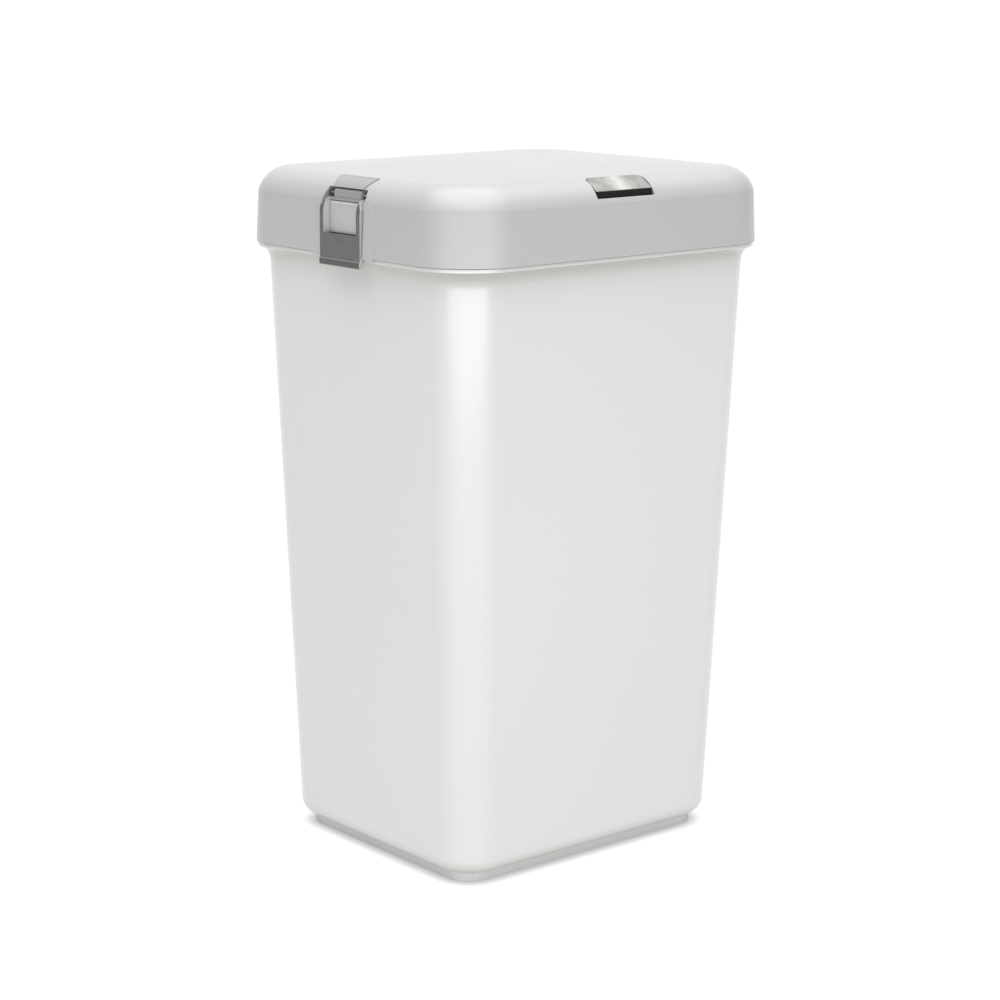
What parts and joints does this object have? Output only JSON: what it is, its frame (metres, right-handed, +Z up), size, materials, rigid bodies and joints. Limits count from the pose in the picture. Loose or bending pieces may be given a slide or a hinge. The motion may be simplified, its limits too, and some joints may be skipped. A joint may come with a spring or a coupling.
{
  "type": "waste bin",
  "caption": "Tall tapered plastic waste bin with a deep cap lid, rear hinge, front push catch and a clip latch at each end.",
  "frame": {"origin": "on the floor, below the middle of the bin", "axes": "+Z up, -Y towards the front with the chrome catch, +X and -X towards the two ends with the clip latches"},
  "size_m": [0.3696, 0.316, 0.6],
  "materials": {
    "body_white": "semi-gloss moulded white polypropylene, faintly warm",
    "lid_grey": "semi-gloss moulded light grey polypropylene",
    "foot_pale": "matt pale grey moulded plastic",
    "latch_silver": "satin metallised silver over moulded plastic",
    "latch_gunmetal": "satin metallised gunmetal grey over moulded plastic",
    "catch_chrome": "polished chrome",
    "inner_grey": "matt moulded grey plastic",
    "pin_steel": "drawn bright steel"
  },
  "bodies": {
    "bin": {"bin_body": "body_white", "base_tray": "foot_pale", "hinge_pin_left": "pin_steel", "hinge_pin_right": "pin_steel"},
    "lid": {"lid_shell": "lid_grey", "catch_housing": "inner_grey", "catch_pin": "pin_steel", "catch_spring": "pin_steel", "catch_screw_left": "pin_steel", "catch_screw_right": "pin_steel", "latch_cover_left": "latch_silver", "latch_pin_left": "pin_steel", "latch_cover_right": "latch_silver", "latch_pin_right": "pin_steel"},
    "catch": {"catch_lever": "catch_chrome"},
    "latch_left": {"latch_arm_left": "latch_gunmetal", "latch_spring_left": "pin_steel"},
    "tab_left": {"latch_tab_left": "latch_silver"},
    "latch_right": {"latch_arm_right": "latch_gunmetal", "latch_spring_right": "pin_steel"},
    "tab_right": {"latch_tab_right": "latch_silver"}
  },
  "joints": [
    {"name": "lid_hinge", "type": "hinge", "parent": "bin", "child": "lid", "pos_m": [0, 0.152, 0.521], "axis": [-1, 0, 0], "range_deg": [0, 105]},
    {"name": "catch_press", "type": "hinge", "parent": "lid", "child": "catch", "pos_m": [0, -0.1458, 0.586], "axis": [-1, 0, 0], "range_deg": [0, 4], "stiffness_Nm_per_rad": 0.08, "springref_deg": -11.46},
    {"name": "latch_left_swing", "type": "hinge", "parent": "lid", "child": "latch_left", "pos_m": [-0.1715, -0.004, 0.583], "axis": [0, 1, 0], "range_deg": [0, 75], "stiffness_Nm_per_rad": 0.03, "springref_deg": -28.65},
    {"name": "tab_left_press", "type": "slide", "parent": "latch_left", "child": "tab_left", "axis": [1, 0, 0], "range_m": [0, 0.002], "stiffness_N_per_m": 800, "springref_m": -0.001},
    {"name": "latch_right_swing", "type": "hinge", "parent": "lid", "child": "latch_right", "pos_m": [0.1715, -0.004, 0.583], "axis": [0, -1, 0], "range_deg": [0, 75], "stiffness_Nm_per_rad": 0.03, "springref_deg": -28.65},
    {"name": "tab_right_press", "type": "slide", "parent": "latch_right", "child": "tab_right", "axis": [-1, 0, 0], "range_m": [0, 0.002], "stiffness_N_per_m": 800, "springref_m": -0.001}
  ]
}
